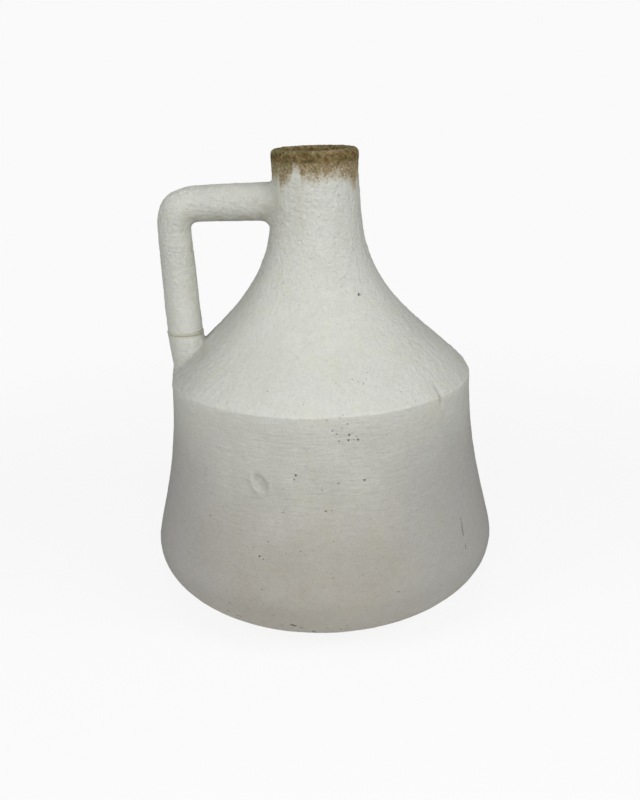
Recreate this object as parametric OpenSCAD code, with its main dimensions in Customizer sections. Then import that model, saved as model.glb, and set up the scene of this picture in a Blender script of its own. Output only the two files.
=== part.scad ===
// Large water jug: a coil-built earthenware jug with a round belly, a sharp edge under a concave
// shoulder, a narrow neck and one tubular handle. Every piece of clay is a solid of its own, and
// the pieces are luted together in rebates, grooves, sockets and spigots.
//
// Millimetres, +Z up, origin on the jug's axis at the plane it stands on. The handle is on -X.

/* [Body] */
// Radius of the flat foot
foot_r = 131; // [126:1:136]
// Largest radius of the belly
belly_r = 186.5; // [182:0.5:191]
// Height of the widest part of the belly
belly_z = 63; // [58:1:70]
// Radius of the sharp edge under the shoulder
edge_r = 160; // [158:1:162]
// Height of the sharp edge
edge_z = 248; // [244:1:251]
// Slope of the shoulder at the edge, in degrees above level
edge_slope = 50.5; // [48:0.5:53]
// Thickness of the clay wall
wall = 9; // [8:0.5:10]
// Thickness of the floor slab
floor_h = 12; // [11:0.5:14]

/* [Neck] */
// Radius of the neck where the shoulder ends
neck_r = 47; // [46:0.5:49]
// Height at which the shoulder has become the neck
neck_z = 410; // [406:1:412]
// Radius of the waist under the lip
waist_r = 43.8; // [43.2:0.1:45]
// Outer radius of the lip
lip_r = 44.5; // [44:0.1:46]
// Height of the lip ring
lip_h = 25; // [22:1:25]
// Overall height of the jug
jug_h = 480; // [478:1:486]
// Radius of the straight bore through neck and lip
bore_r = 36; // [34:0.5:36.5]

/* [Handle] */
// Height of the arm's centre line
arm_z = 427.7; // [427:0.1:430]
// Radius of the arm at the neck
arm_r = 19.5; // [18.8:0.1:20.5]
// Radius of the tube round the elbow
elbow_r = 18; // [17.2:0.1:18.6]
// Bend radius of the elbow's centre line
bend_r = 26; // [22:0.5:28]
// Distance from the jug's axis to the top of the grip
grip_x = 147; // [146.5:0.1:148]
// Lean of the grip towards the jug, in degrees
grip_lean = 2.2; // [1.8:0.1:2.6]
// Radius of the grip at its lower end
grip_end_r = 18.8; // [18.5:0.1:19.4]
// Length of the grip
grip_len = 105.8; // [104.5:0.1:107]
// Lean of the stub towards the jug, in degrees
stub_lean = 6; // [4.5:0.1:6.5]
// Radius of the stub
stub_r = 19.2; // [18.8:0.1:19.8]
// Radius of the hollow inside the handle
hollow_r = 10; // [8:0.5:11]

/* [Joints] */
// Height of the rebate between floor and wall
rebate_h = 6; // [5:0.5:7]
// Width of the tongue in the seam at the edge
tongue_w = 3; // [2:0.5:3.5]
// Depth of that tongue
tongue_h = 4; // [3:0.5:5]
// Height of the lap between shoulder and neck
lap_h = 8; // [6:0.5:10]
// Height of the lap between neck and lip
lip_lap_h = 5; // [4:0.5:6]
// Radius of the arm's tenon in the neck
tenon_r = 15; // [14:0.5:16]
// Clay left between the tenon and the bore
tenon_web = 4; // [3:0.5:5]
// Length of the stub's spigot inside the grip
spigot_len = 24; // [16:1:30]
// Height of the collar at the lower seam
collar_h = 5; // [4:0.5:6]

/* [Hidden] */

$fn = 128;
steps = 12;             // straight runs in each curve of the profile
neck_t = 0.93;          // where along the shoulder's curve the neck begins
slab_r = foot_r - 13;   // floor slab at the table
rebate_r = foot_r - 4;  // floor slab above the rebate
lip_z = jug_h - lip_h;
lip_lap_r = (bore_r + waist_r) / 2;
lap_r = bore_r + 5;
bore_z = neck_z - 22;   // where the straight bore opens into the shoulder
lip_round = 5;
lip_round_z = jug_h - lip_round - 2;
bore_round = 3;
elbow_step = 0.3;       // how much fuller the straight tubes are where they meet the elbow

whitewash = [0.83, 0.83, 0.80];
shaded_wash = [0.66, 0.65, 0.61];
bare_clay = [0.62, 0.55, 0.46];
stained_clay = [0.48, 0.40, 0.29];
old_slip = [0.74, 0.73, 0.65];

// Cubic curve through four control points, its direction, and the inward side of a direction.
function bezier(p, t) =
    pow(1 - t, 3) * p[0] + 3 * t * pow(1 - t, 2) * p[1] + 3 * t * t * (1 - t) * p[2] + pow(t, 3) * p[3];
function along(p, t) =
    pow(1 - t, 2) * (p[1] - p[0]) + 2 * t * (1 - t) * (p[2] - p[1]) + t * t * (p[3] - p[2]);
function inward(v) = [-v[1], v[0]] / norm(v);

// Points of a curve from t0 to t1, moved inwards by depth.
function run(p, t0, t1, depth = 0, n = steps) = [
    for (i = [0:n])
        let (t = t0 + (t1 - t0) * i / n)
        bezier(p, t) + depth * inward(along(p, t))
];
function reversed(list) = [for (i = [len(list) - 1:-1:0]) list[i]];
function between(list, z0, z1) = [for (p = list) if (p[1] > z0 && p[1] < z1) p];
function arc(centre, r, a0, a1, n = 6) = [
    for (i = [0:n])
        let (a = a0 + (a1 - a0) * i / n)
        centre + r * [cos(a), sin(a)]
];

// The outer profile: foot, wall and shoulder curves, then the straight neck.
neck_line = [neck_r - waist_r, neck_z - lip_z] / norm([neck_r - waist_r, neck_z - lip_z]);
foot_curve = [[foot_r, 0], [foot_r + 14, 11], [belly_r, 25], [belly_r, belly_z]];
wall_curve = [[belly_r, belly_z], [belly_r, belly_z + 19], [edge_r - 1, 150], [edge_r, edge_z]];
shoulder_curve = [
    [edge_r, edge_z],
    [edge_r, edge_z] + 50 * [-cos(edge_slope), sin(edge_slope)],
    [neck_r, neck_z] + 84 * neck_line,
    [neck_r, neck_z]
];
foot_outer = run(foot_curve, 0, 1);
wall_outer = run(wall_curve, 0, 1);
shoulder_outer = run(shoulder_curve, 0, neck_t);
neck_outer = run(shoulder_curve, neck_t, 1, n = 3);
neck_root = neck_outer[0];

// Inner corners that the two seam coils are pressed into.
floor_corner = [foot_r - 1, floor_h];
edge_corner = [edge_r - wall, edge_z];
edge_land = 20;
foot_inner = between(run(foot_curve, 0, 1, wall), floor_h + 2, belly_z + 1);
wall_inner = between(run(wall_curve, 0, 1, wall), belly_z + 2, edge_z - edge_land - 2);
shoulder_inner = between(run(shoulder_curve, 0, 1, wall), edge_z + 10, bore_z - 12);

// Solid of the jug's outer form, which the handle's pieces are cut to fit.
module outer_form() {
    rotate_extrude()
        polygon(concat(
            [[0, 0]], foot_outer, wall_outer, shoulder_outer, neck_outer,
            [[waist_r, lip_z], [lip_r, lip_round_z], [lip_r, jug_h], [0, jug_h]]
        ));
}

module floor() {
    color(bare_clay)
        rotate_extrude()
            polygon([[0, 0], [slab_r, 0], [slab_r, rebate_h], [rebate_r, rebate_h],
                     [rebate_r, floor_h], [0, floor_h]]);
}

module lower_wall() {
    tongue_in = edge_r - wall / 2 - tongue_w / 2;
    color(shaded_wash)
        rotate_extrude()
            polygon(concat(
                [[slab_r, rebate_h], [slab_r, 0]],
                foot_outer,
                wall_outer,
                [[tongue_in + tongue_w, edge_z], [tongue_in + tongue_w, edge_z - tongue_h],
                 [tongue_in, edge_z - tongue_h], [tongue_in, edge_z],
                 edge_corner, edge_corner - [0, edge_land]],
                reversed(wall_inner),
                reversed(foot_inner),
                [floor_corner, [rebate_r, floor_h], [rebate_r, rebate_h]]
            ));
}

module floor_seam_coil() {
    inner_edge = floor_corner - [14, 0];
    upper_edge = foot_inner[1];
    color(bare_clay)
        rotate_extrude()
            polygon(concat(
                [inner_edge, floor_corner, foot_inner[0]],
                run([upper_edge, upper_edge - [9, 3], inner_edge + [7, 1], inner_edge], 0, 0.95, n = 6)
            ));
}

module shoulder() {
    tongue_in = edge_r - wall / 2 - tongue_w / 2;
    color(whitewash)
        rotate_extrude()
            polygon(concat(
                shoulder_outer,
                [[lap_r, neck_root[1]], [lap_r, neck_root[1] + lap_h],
                 [bore_r, neck_root[1] + lap_h], [bore_r, bore_z]],
                reversed(shoulder_inner),
                [edge_corner, [tongue_in, edge_z], [tongue_in, edge_z - tongue_h],
                 [tongue_in + tongue_w, edge_z - tongue_h], [tongue_in + tongue_w, edge_z]]
            ));
}

module shoulder_seam_coil() {
    lower_edge = edge_corner - [0, edge_land - 2];
    upper_edge = shoulder_inner[0];
    color(bare_clay)
        rotate_extrude()
            polygon(concat(
                [lower_edge, edge_corner],
                run([upper_edge, upper_edge - [2, 6], lower_edge + [-6, 12], lower_edge], 0, 0.95, n = 6)
            ));
}

module neck() {
    color(whitewash)
        difference() {
            rotate_extrude()
                polygon(concat(
                    [[lap_r, neck_root[1]]],
                    neck_outer,
                    [[waist_r, lip_z], [lip_lap_r, lip_z], [lip_lap_r, lip_z + lip_lap_h],
                     [bore_r, lip_z + lip_lap_h], [bore_r, neck_root[1] + lap_h],
                     [lap_r, neck_root[1] + lap_h]]
                ));
            arm_run(bore_r + tenon_web, neck_r + 10, tenon_r);
        }
}

module rim_lip() {
    color(stained_clay)
        rotate_extrude()
            polygon(concat(
                [[waist_r, lip_z], [lip_r, lip_round_z]],
                arc([lip_r - lip_round, jug_h - lip_round], lip_round, 0, 90),
                arc([bore_r + bore_round, jug_h - bore_round], bore_round, 90, 180),
                [[bore_r, lip_z + lip_lap_h], [lip_lap_r, lip_z + lip_lap_h], [lip_lap_r, lip_z]]
            ));
}

// Round bar of radius r on the arm's centre line, from x0 to x1 away from the jug's axis.
module arm_run(x0, x1, r) {
    translate([-x0, 0, arm_z])
        rotate([0, -90, 0])
            cylinder(h = x1 - x0, r = r);
}

// Frame of the grip: its origin is the lower end of the elbow, and the grip runs down -Z.
module grip_frame() {
    translate([bend_r - grip_x, 0, arm_z - bend_r])
        rotate([0, -grip_lean, 0])
            translate([-bend_r, 0, 0])
                children();
}

// Frame of the stub: its origin is the centre of the lower seam.
module stub_frame() {
    grip_frame()
        translate([0, 0, -grip_len - collar_h])
            rotate([0, grip_lean - stub_lean, 0])
                children();
}

// Arm, elbow and grip as one solid bar: the arm narrows to the elbow, the grip widens below it.
module handle_bar() {
    arm_len = grip_x - bend_r - lap_r;
    translate([-lap_r, 0, arm_z])
        rotate([0, -90, 0])
            cylinder(h = arm_len, r1 = arm_r, r2 = elbow_r + elbow_step);
    elbow(elbow_r);
    grip_frame()
        translate([0, 0, -grip_len])
            cylinder(h = grip_len, r1 = grip_end_r, r2 = elbow_r + elbow_step);
}

// Bend of radius bend_r between arm and grip, for a tube of radius r.
module elbow(r) {
    translate([bend_r - grip_x, 0, arm_z - bend_r])
        rotate([90, 0, 0])
            rotate([0, 0, 90])
                rotate_extrude(angle = 90 + grip_lean)
                    translate([bend_r, 0])
                        circle(r = r);
}

// The hollow through arm, elbow and grip.
module handle_hollow() {
    arm_run(bore_r + tenon_web, grip_x - bend_r, hollow_r);
    elbow(hollow_r - elbow_step);
    grip_frame()
        translate([0, 0, -grip_len - 1])
            cylinder(h = grip_len + 1, r = hollow_r);
}

module handle_tube() {
    color(whitewash)
        difference() {
            union() {
                difference() {
                    handle_bar();
                    outer_form();
                }
                arm_run(bore_r + tenon_web, neck_r + 20, tenon_r);
            }
            handle_hollow();
        }
}

module handle_root_fillet() {
    root_r = arm_r + 5;
    color(whitewash)
        difference() {
            intersection() {
                translate([0, 0, arm_z])
                    rotate([0, -90, 0])
                        rotate_extrude()
                            polygon(concat(
                                [[arm_r - 2, 10], [root_r, 10]],
                                run([[root_r, neck_r - 3], [arm_r + 1.5, neck_r - 1.5],
                                     [arm_r, neck_r + 2], [arm_r - 0.3, neck_r + 8]], 0, 1, n = 5),
                                [[arm_r - 2, neck_r + 8]]
                            ));
                translate([-neck_r - 30, -60, neck_z - 20])
                    cube([neck_r + 10, 120, 80]);
            }
            handle_bar();
            outer_form();
        }
}

module handle_seam_collar() {
    color(old_slip)
        grip_frame()
            translate([0, 0, -grip_len - collar_h])
                rotate_extrude()
                    polygon([[hollow_r, 0], [grip_end_r, 0], [grip_end_r, 1.5],
                             [grip_end_r + 1, 2.5], [grip_end_r + 1, collar_h - 0.8],
                             [grip_end_r + 0.4, collar_h], [hollow_r, collar_h]]);
}

module handle_stub() {
    color(whitewash)
        union() {
            difference() {
                stub_frame()
                    translate([0, 0, -48])
                        cylinder(h = 53, r = stub_r);
                outer_form();
                grip_frame()
                    translate([-50, -50, -grip_len - collar_h])
                        cube([100, 100, 50]);
            }
            grip_frame()
                translate([0, 0, -grip_len - collar_h - 4])
                    cylinder(h = spigot_len + collar_h + 4, r = hollow_r);
        }
}

module stub_foot_fillet() {
    toe_r = stub_r + 5;
    color(whitewash)
        difference() {
            intersection() {
                stub_frame()
                    rotate_extrude()
                        polygon(concat(
                            [[stub_r, -48], [toe_r, -48]],
                            run([[toe_r, -26], [stub_r + 2.5, -24.5],
                                 [stub_r + 0.5, -20.5], [stub_r, -14.5]], 0, 1, n = 6)
                        ));
                translate([0, 0, edge_z - 1])
                    cylinder(h = 60, r = edge_r);
            }
            outer_form();
            stub_frame()
                translate([0, 0, -60])
                    cylinder(h = 80, r = stub_r);
        }
}

floor();
lower_wall();
floor_seam_coil();
shoulder();
shoulder_seam_coil();
neck();
rim_lip();
handle_tube();
handle_root_fillet();
handle_seam_collar();
handle_stub();
stub_foot_fillet();
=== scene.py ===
"""Large whitewashed water jug: the visible surfaces, built round the packed clay pieces.

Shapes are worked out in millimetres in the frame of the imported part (+Z up, jug's axis on Z, handle
on -X) and turned into metres when a mesh is made. Every piece of clay is its own closed mesh. They
share one profile, one smooth warp and one relief, which depend only on where a point is, so the
whitewash runs on across the joints that it covers.
"""
import math
from collections import namedtuple

import bpy
import numpy as np
from mathutils import Matrix, Vector


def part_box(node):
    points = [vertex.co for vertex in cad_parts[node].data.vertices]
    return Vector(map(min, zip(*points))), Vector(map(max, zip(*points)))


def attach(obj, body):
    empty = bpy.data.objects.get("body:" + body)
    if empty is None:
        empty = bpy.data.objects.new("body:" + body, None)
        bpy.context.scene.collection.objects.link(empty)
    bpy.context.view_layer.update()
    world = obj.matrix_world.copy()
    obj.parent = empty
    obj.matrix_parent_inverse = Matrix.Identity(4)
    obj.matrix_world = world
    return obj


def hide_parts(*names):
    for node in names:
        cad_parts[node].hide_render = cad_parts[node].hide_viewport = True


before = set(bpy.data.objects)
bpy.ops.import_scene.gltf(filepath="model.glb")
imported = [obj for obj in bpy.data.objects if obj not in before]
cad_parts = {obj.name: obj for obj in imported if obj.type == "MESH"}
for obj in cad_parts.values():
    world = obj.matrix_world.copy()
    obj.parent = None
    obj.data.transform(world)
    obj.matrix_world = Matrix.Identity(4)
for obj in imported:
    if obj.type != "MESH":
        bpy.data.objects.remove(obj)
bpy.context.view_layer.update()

MM = 0.001

# -------- sizes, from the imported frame


def node_box(name):
    """Lowest and highest corner of a CAD node in millimetres, to the nearest tenth."""
    low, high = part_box(name)
    return np.round(np.array(low) / MM, 1), np.round(np.array(high) / MM, 1)


FLOOR_HIGH = node_box("floor")[1]
WALL_HIGH = node_box("lower_wall")[1]
SHOULDER_LOW, SHOULDER_HIGH = node_box("shoulder")
NECK_LOW, NECK_HIGH = node_box("neck")
LIP_LOW, LIP_HIGH = node_box("rim_lip")

JUG_H = LIP_HIGH[2]
BELLY_R = WALL_HIGH[0]
EDGE_Z = WALL_HIGH[2]
EDGE_R = SHOULDER_HIGH[0]
TONGUE_H = EDGE_Z - SHOULDER_LOW[2]
BELLY_Z = 63.0
FOOT_R = 131.0
EDGE_SLOPE = math.radians(50.5)
NECK_ROOT_Z = NECK_LOW[2]
NECK_Z = 410.0
NECK_R = 47.0
LIP_Z = LIP_LOW[2]
LIP_LAP_Z = NECK_HIGH[2]
LIP_R = LIP_HIGH[0]
WAIST_R = 43.8
BORE_R = 36.0
BORE_Z = NECK_Z - 22
LIP_ROUND = 5.0
BORE_ROUND = 3.0
WALL = 9.0
FLOOR_H = FLOOR_HIGH[2]
SLAB_R = FOOT_R - 13
REBATE_R = FLOOR_HIGH[0]
REBATE_H = FLOOR_H / 2
LAP_R = BORE_R + 5
LAP_H = 8.0
LIP_LAP_R = (BORE_R + WAIST_R) / 2
TONGUE_R = EDGE_R - WALL / 2

ARM_Z = 427.7
ARM_R = 19.4
ARM_REACH = 80.0        # a place on the arm that is clear of the neck
ARM_SEARCH = (0, 60)    # how far from there the neck's skin is looked for
BEND_R = 26.0
GRIP_X = 147.0
GRIP_LEAN = math.radians(2.2)
GRIP_LEN = 105.8
COLLAR_H = 5.0
STUB_LEAN = math.radians(6)
STUB_R = node_box("handle_stub")[1][1]
STUB_SEARCH = (-8, 55)  # how far down from the seam the shoulder's skin is looked for
HOLLOW_R = 10.0
SPIGOT_R = HOLLOW_R - 0.1
COLLAR_R = 18.9

AROUND = 600            # columns round the jug
TUBE_AROUND = 160       # columns round the handle
EDGE_SPACING = 0.8      # between rows at the sharp edge

# -------- small maths


def smooth(t):
    t = np.clip(t, 0.0, 1.0)
    return t * t * (3 - 2 * t)


def ramp(value, start, end):
    """0 before start, 1 after end, smooth between."""
    return smooth((value - start) / (end - start))


def bell(*offsets):
    """1 where every offset is 0, falling away smoothly on all sides."""
    return np.exp(-sum(np.square(offset) for offset in offsets))


def unit(v):
    return v / np.maximum(np.linalg.norm(v, axis=-1, keepdims=True), 1e-12)


def outline_normals(points):
    """Unit normals of an outline, on the right of the way along it."""
    along = np.gradient(points, axis=0)
    return unit(np.stack([along[:, 1], -along[:, 0]], 1))


def turns(count):
    """Angles round a full circle."""
    return np.linspace(0, 2 * math.pi, count, endpoint=False)


def spin(radius, height, angle):
    """Points at a radius and a height, turned round the jug's axis."""
    return np.stack(np.broadcast_arrays(radius * np.cos(angle), radius * np.sin(angle), height), -1)


def bezier(p, n):
    t = np.linspace(0, 1, n)[:, None]
    p = np.array(p, float)
    return (1 - t) ** 3 * p[0] + 3 * t * (1 - t) ** 2 * p[1] + 3 * t * t * (1 - t) * p[2] + t ** 3 * p[3]


def arc(centre, radius, start, end, n=24):
    a = np.radians(np.linspace(start, end, n))
    return np.array(centre) + radius * np.stack([np.cos(a), np.sin(a)], 1)


def lattice(ix, iy, iz, seed):
    """A repeatable 32-bit scramble of lattice corners."""
    h = (ix * 0x8DA6B343) ^ (iy * 0xD8163841) ^ (iz * 0xCB1AB31F) ^ (seed * 0x9E3779B1)
    h = h & 0xFFFFFFFF
    h = ((h ^ (h >> 13)) * 0x5BD1E995) & 0xFFFFFFFF
    h = ((h ^ (h >> 15)) * 0x27D4EB2F) & 0xFFFFFFFF
    return h ^ (h >> 16)


def noise(p, size, seed=0):
    """Gradient noise of about -1 to 1 with features of the given size (a number, or one per axis)."""
    q = np.asarray(p, float) / np.asarray(size, float) + 37.17 + 11.3 * (seed % 17)
    cell = np.floor(q).astype(np.int64)
    f = q - cell
    w = f * f * f * (f * (f * 6 - 15) + 10)
    total = np.zeros(len(q))
    for corner in range(8):
        d = np.array([corner & 1, corner >> 1 & 1, corner >> 2 & 1])
        h = lattice(*(cell + d).T, seed)
        gradient = np.stack([h & 1023, h >> 10 & 1023, h >> 20 & 1023], 1) / 511.5 - 1
        weight = np.prod(np.where(d, w, 1 - w), axis=1)
        total += weight * np.einsum("ij,ij->i", gradient, f - d)
    return total * 1.35


class Profile:
    """The outer outline from under the foot, over the lip and into the bore, by length along it."""

    STEP = 0.25

    def __init__(self, points, soften):
        length = np.r_[0, np.cumsum(np.linalg.norm(np.diff(points, axis=0), axis=1))]
        self.s = np.arange(0, length[-1], self.STEP)
        even = self.between(self.s, length, points)
        reach = int(4 * soften / self.STEP)
        kernel = bell(np.arange(-reach, reach + 1) * self.STEP / soften / math.sqrt(2))
        kernel /= kernel.sum()
        padded = np.concatenate([
            2 * even[0] - even[reach:0:-1], even, 2 * even[-1] - even[-2:-reach - 2:-1]])
        self.rz = np.stack([np.convolve(column, kernel, "valid") for column in padded.T], 1)
        self.normal = outline_normals(self.rz)

    @staticmethod
    def between(s, stations, table):
        """The rows of a table at lengths s, straight between its stations."""
        return np.stack([np.interp(s, stations, column) for column in table.T], 1)

    def at(self, s):
        return self.between(s, self.s, self.rz), unit(self.between(s, self.s, self.normal))

    def length_at_height(self, z):
        """Length along the outline where it first reaches height z."""
        return self.s[np.argmax(self.rz[:, 1] >= z)]

    def length_at_corner(self, corner):
        return self.s[np.argmin(np.linalg.norm(self.rz - corner, axis=1))]


def make_profile():
    edge = np.array([EDGE_R, EDGE_Z])
    neck_end = np.array([NECK_R, NECK_Z])
    neck_line = unit(np.array([NECK_R - WAIST_R, NECK_Z - LIP_Z]))
    leave_edge = np.array([-math.cos(EDGE_SLOPE), math.sin(EDGE_SLOPE)])
    return Profile(np.concatenate([
        [[SLAB_R, 0]],
        bezier([[FOOT_R, 0], [FOOT_R + 14, 11], [BELLY_R, 25], [BELLY_R, BELLY_Z]], 120),
        bezier([[BELLY_R, BELLY_Z], [BELLY_R, BELLY_Z + 19], [EDGE_R - 1, 150], edge], 200),
        bezier([edge, edge + 50 * leave_edge, neck_end + 84 * neck_line, neck_end], 200),
        [[WAIST_R, LIP_Z], [LIP_R, JUG_H - LIP_ROUND - 2]],
        arc([LIP_R - LIP_ROUND, JUG_H - LIP_ROUND], LIP_ROUND, 0, 90),
        arc([BORE_R + BORE_ROUND, JUG_H - BORE_ROUND], BORE_ROUND, 90, 180),
        [[BORE_R, LIP_LAP_Z]],
    ]), soften=1.1)


PROFILE = make_profile()
S_EDGE = PROFILE.length_at_corner([EDGE_R, EDGE_Z])
S_NECK = PROFILE.length_at_height(NECK_ROOT_Z)
S_LIP = PROFILE.length_at_height(LIP_Z)
S_END = PROFILE.s[-1]
RISING = (PROFILE.s > PROFILE.length_at_height(20)) & (PROFILE.s < PROFILE.length_at_height(JUG_H - 6))


def outline_radius(z):
    return np.interp(z, PROFILE.rz[RISING, 1], PROFILE.rz[RISING, 0])


def body_distance(p):
    """About how far points are outside the jug's body, for heights between foot and lip."""
    lean = np.interp(p[:, 2], PROFILE.rz[RISING, 1], PROFILE.normal[RISING, 0])
    return (np.hypot(p[:, 0], p[:, 1]) - outline_radius(p[:, 2])) * lean


# -------- the handle's centre line

ELBOW_CENTRE = np.array([BEND_R - GRIP_X, 0, ARM_Z - BEND_R])
ELBOW_TURN = math.pi / 2 + GRIP_LEAN
ARM_LEN = -ELBOW_CENTRE[0]
ELBOW_LEN = BEND_R * ELBOW_TURN
HANDLE_LEN = ARM_LEN + ELBOW_LEN + GRIP_LEN
SIDEWAYS = np.array([0, 1.0, 0])
UPWARDS = np.array([0, 0, 1.0])
TO_JUG = np.array([1.0, 0, 0])


def leaning(lean):
    """The way down a tube that leans in at its foot, and the way outward from it."""
    return (np.array([math.sin(lean), 0, -math.cos(lean)]), np.array([-math.cos(lean), 0, -math.sin(lean)]))


GRIP_DOWN, GRIP_OUT = leaning(GRIP_LEAN)
STUB_DOWN, STUB_OUT = leaning(STUB_LEAN)
SEAM = ELBOW_CENTRE + BEND_R * GRIP_OUT + (GRIP_LEN + COLLAR_H) * GRIP_DOWN

# How far the handle's skin is from its centre line, on the outer and on the inner side of the
# bend, at lengths along it from the jug's axis. The bend is squarer outside than a plain arc.
OUTER_SIDE = np.array([
    [0, 19.6], [50, 19.6], [100, 19.0], [115, 18.4], [124, 18.0], [132, 18.9], [142, 21.6], [151, 19.0],
    [160, 17.0], [173, 17.6], [188, 17.8], [213, 18.3], [238, 18.8], [269, 18.8]])
INNER_SIDE = np.array([
    [0, 19.2], [50, 19.2], [100, 18.6], [115, 18.3], [121, 18.5], [128, 18.4], [135, 17.9], [142, 17.5],
    [150, 17.2], [163, 17.2], [173, 16.8], [188, 17.5], [213, 17.9], [238, 18.1], [269, 18.6]])


def tube_side(s, keys):
    """The keys joined smoothly: an average of the straight-line reading over a short stretch."""
    offsets = np.linspace(-5, 5, 9)
    return np.mean([np.interp(s + o, keys[:, 0], keys[:, 1]) for o in offsets], axis=0)


def tube_radius(s, facing):
    """Radius at lengths s, for a direction that faces away from the bend (1) or into it (-1)."""
    outer, inner = tube_side(s, OUTER_SIDE), tube_side(s, INNER_SIDE)
    return (outer + inner) / 2 + facing * (outer - inner) / 2


def tube_frame(s):
    """Centre and outward direction of the handle at lengths s from the jug's axis."""
    s = np.asarray(s, float)
    turn = np.clip((s - ARM_LEN) / BEND_R, 0, ELBOW_TURN)
    out = np.stack([-np.sin(turn), np.zeros_like(s), np.cos(turn)], -1)
    centre = ELBOW_CENTRE + BEND_R * out
    centre[..., 0] += np.maximum(ARM_LEN - s, 0)
    centre += np.maximum(s - ARM_LEN - ELBOW_LEN, 0)[..., None] * GRIP_DOWN
    return centre, out


def arm_distance(p):
    rise = p[:, 2] - ARM_Z
    reach = np.hypot(p[:, 1], rise)
    return reach - tube_radius(-p[:, 0], rise / np.maximum(reach, 1e-6))


def stub_radius(down):
    """Radius of the stub at lengths down from the seam."""
    return STUB_R - 0.2 + 0.2 * ramp(down, 0, 8)


def stub_distance(p):
    q = p - SEAM
    down = q @ STUB_DOWN
    return np.hypot(q @ STUB_OUT, q[:, 1]) - stub_radius(down)


# -------- marks on the surface


def on_body(angle, z):
    """Point on the jug's outline at an angle in degrees round the axis, and its own right and up."""
    a = math.radians(angle)
    below, radius, above = outline_radius(np.array([z - 1, z, z + 1]))
    up = unit(spin((above - below) / 2, 1.0, a))
    return spin(radius, z, a), spin(1.0, 0.0, a + math.pi / 2), up


def local(p, angle, z):
    """How far points are across (right) and up from a mark, and whether they are near its surface."""
    point, right, up = on_body(angle, z)
    q = p - point
    return q @ right, q @ up, np.abs(q @ np.cross(right, up)) < MARK_REACH


def turned(across, up, degrees):
    """The same place along axes that are turned anticlockwise."""
    t = math.radians(degrees)
    return across * math.cos(t) + up * math.sin(t), up * math.cos(t) - across * math.sin(t)


# Pinholes: angle, height, radius, depth.
PITS = [
    (-54, 341, 1.7, 2.2), (-33, 274, 0.7, 0.5),
    (-77, 275, 0.7, 0.5), (-75, 273, 0.6, 0.4), (-73, 271, 0.8, 0.6), (-71, 274, 0.6, 0.5),
    (-69.5, 278.5, 0.7, 0.5), (-84, 273, 0.6, 0.4), (-59, 260.5, 0.7, 0.5), (-96.5, 258, 0.6, 0.4),
    (-111, 266.5, 0.8, 0.5), (-83, 249.5, 0.6, 0.4),
    (-88.5, 245, 0.7, 0.5), (-84, 247, 0.6, 0.4), (-81.5, 240.5, 0.9, 0.6), (-86.7, 234.5, 0.8, 0.6),
    (-85.3, 231, 0.9, 0.6), (-83.5, 236, 0.6, 0.4), (-81, 229.5, 1.1, 1.0), (-81.3, 224.3, 1.1, 1.0),
    (-79.5, 224.2, 0.7, 0.6), (-78, 224, 1.1, 1.1), (-84.5, 224, 0.9, 0.7), (-78.6, 227.3, 0.7, 0.5),
    (-99.3, 191, 1.1, 1.0), (-99.9, 186.8, 1.0, 0.6), (-96, 200, 0.6, 0.4), (-90.6, 176.7, 0.7, 0.5),
    (-85, 182.5, 1.0, 0.6), (-76.2, 183.5, 1.2, 0.9), (-89.5, 155.8, 1.0, 0.8), (-87.6, 156.5, 0.7, 0.5),
    (-103.5, 154, 0.9, 0.6), (-131.8, 136, 0.9, 0.6), (-87.2, 126.5, 0.7, 0.5), (-97.9, 117.2, 0.7, 0.4),
    (-111.3, 108.6, 1.1, 0.9), (-109.9, 106.3, 0.8, 0.5), (-113.6, 116, 0.7, 0.4), (-108.5, 124, 0.8, 0.5),
    (-110, 77, 0.8, 0.5), (-68, 70, 0.8, 0.5), (-52.3, 61, 0.7, 0.4), (-88, 91.5, 0.6, 0.4),
    (-121.5, 54.5, 0.9, 0.6), (-124, 39.7, 0.8, 0.5), (-106.5, 51, 0.8, 0.4), (-88.5, 27, 1.0, 0.8),
    (60, 300, 1.0, 0.7), (118, 210, 0.9, 0.7), (121, 206, 0.7, 0.5), (20, 150, 0.9, 0.6),
    (150, 170, 0.9, 0.6),
]

# Shallow scars: angle, height, half length across, half length up, depth, tilt in degrees.
SCARS = [
    (-107.2, 449, 0.6, 7.5, 0.45, 0), (-104.3, 452, 0.5, 4.0, 0.35, 3), (-71.3, 363.0, 4.5, 0.9, 0.30, -28),
    (-62.5, 356.5, 4.0, 0.8, 0.30, -20), (-66.0, 352.0, 5.0, 0.8, 0.25, 12),
    (-105.0, 296.5, 3.5, 0.9, 0.28, 30), (-104.5, 290.0, 2.2, 1.0, 0.28, 50),
    (-100.5, 292.0, 3.0, 0.8, 0.25, -15), (-75.3, 196.5, 4.5, 0.9, 0.25, 0),
    (-103.2, 257.4, 4.0, 0.6, 0.35, 2), (-80.5, 184.0, 3.2, 0.7, 0.45, 0),
    (-119.8, 37.0, 3.2, 2.2, 1.3, 10), (-123.6, 41.0, 1.6, 1.8, 0.9, -10), (-111.0, 37.0, 1.8, 2.0, 0.7, 0),
    (-104.6, 35.5, 1.2, 3.4, 0.9, 12), (-101.0, 37.2, 4.2, 2.6, 1.7, -4), (-98.6, 33.5, 1.6, 2.6, 1.3, 8),
    (-90.2, 33.0, 1.7, 2.2, 0.9, 4), (-85.8, 30.0, 1.5, 2.6, 1.0, 0), (-83.9, 28.0, 2.2, 2.8, 1.4, 8),
    (-83.9, 37.0, 1.6, 1.8, 0.7, 0), (-94.7, 22.0, 2.2, 8.0, 1.4, 0), (-118.8, 22.0, 5.0, 7.0, 0.9, 0),
    (-66.7, 22.0, 3.0, 7.0, 1.0, 0), (70.0, 36.0, 4.0, 1.1, 0.8, 5), (140.0, 60.0, 3.5, 1.0, 0.7, -12),
]

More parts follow.
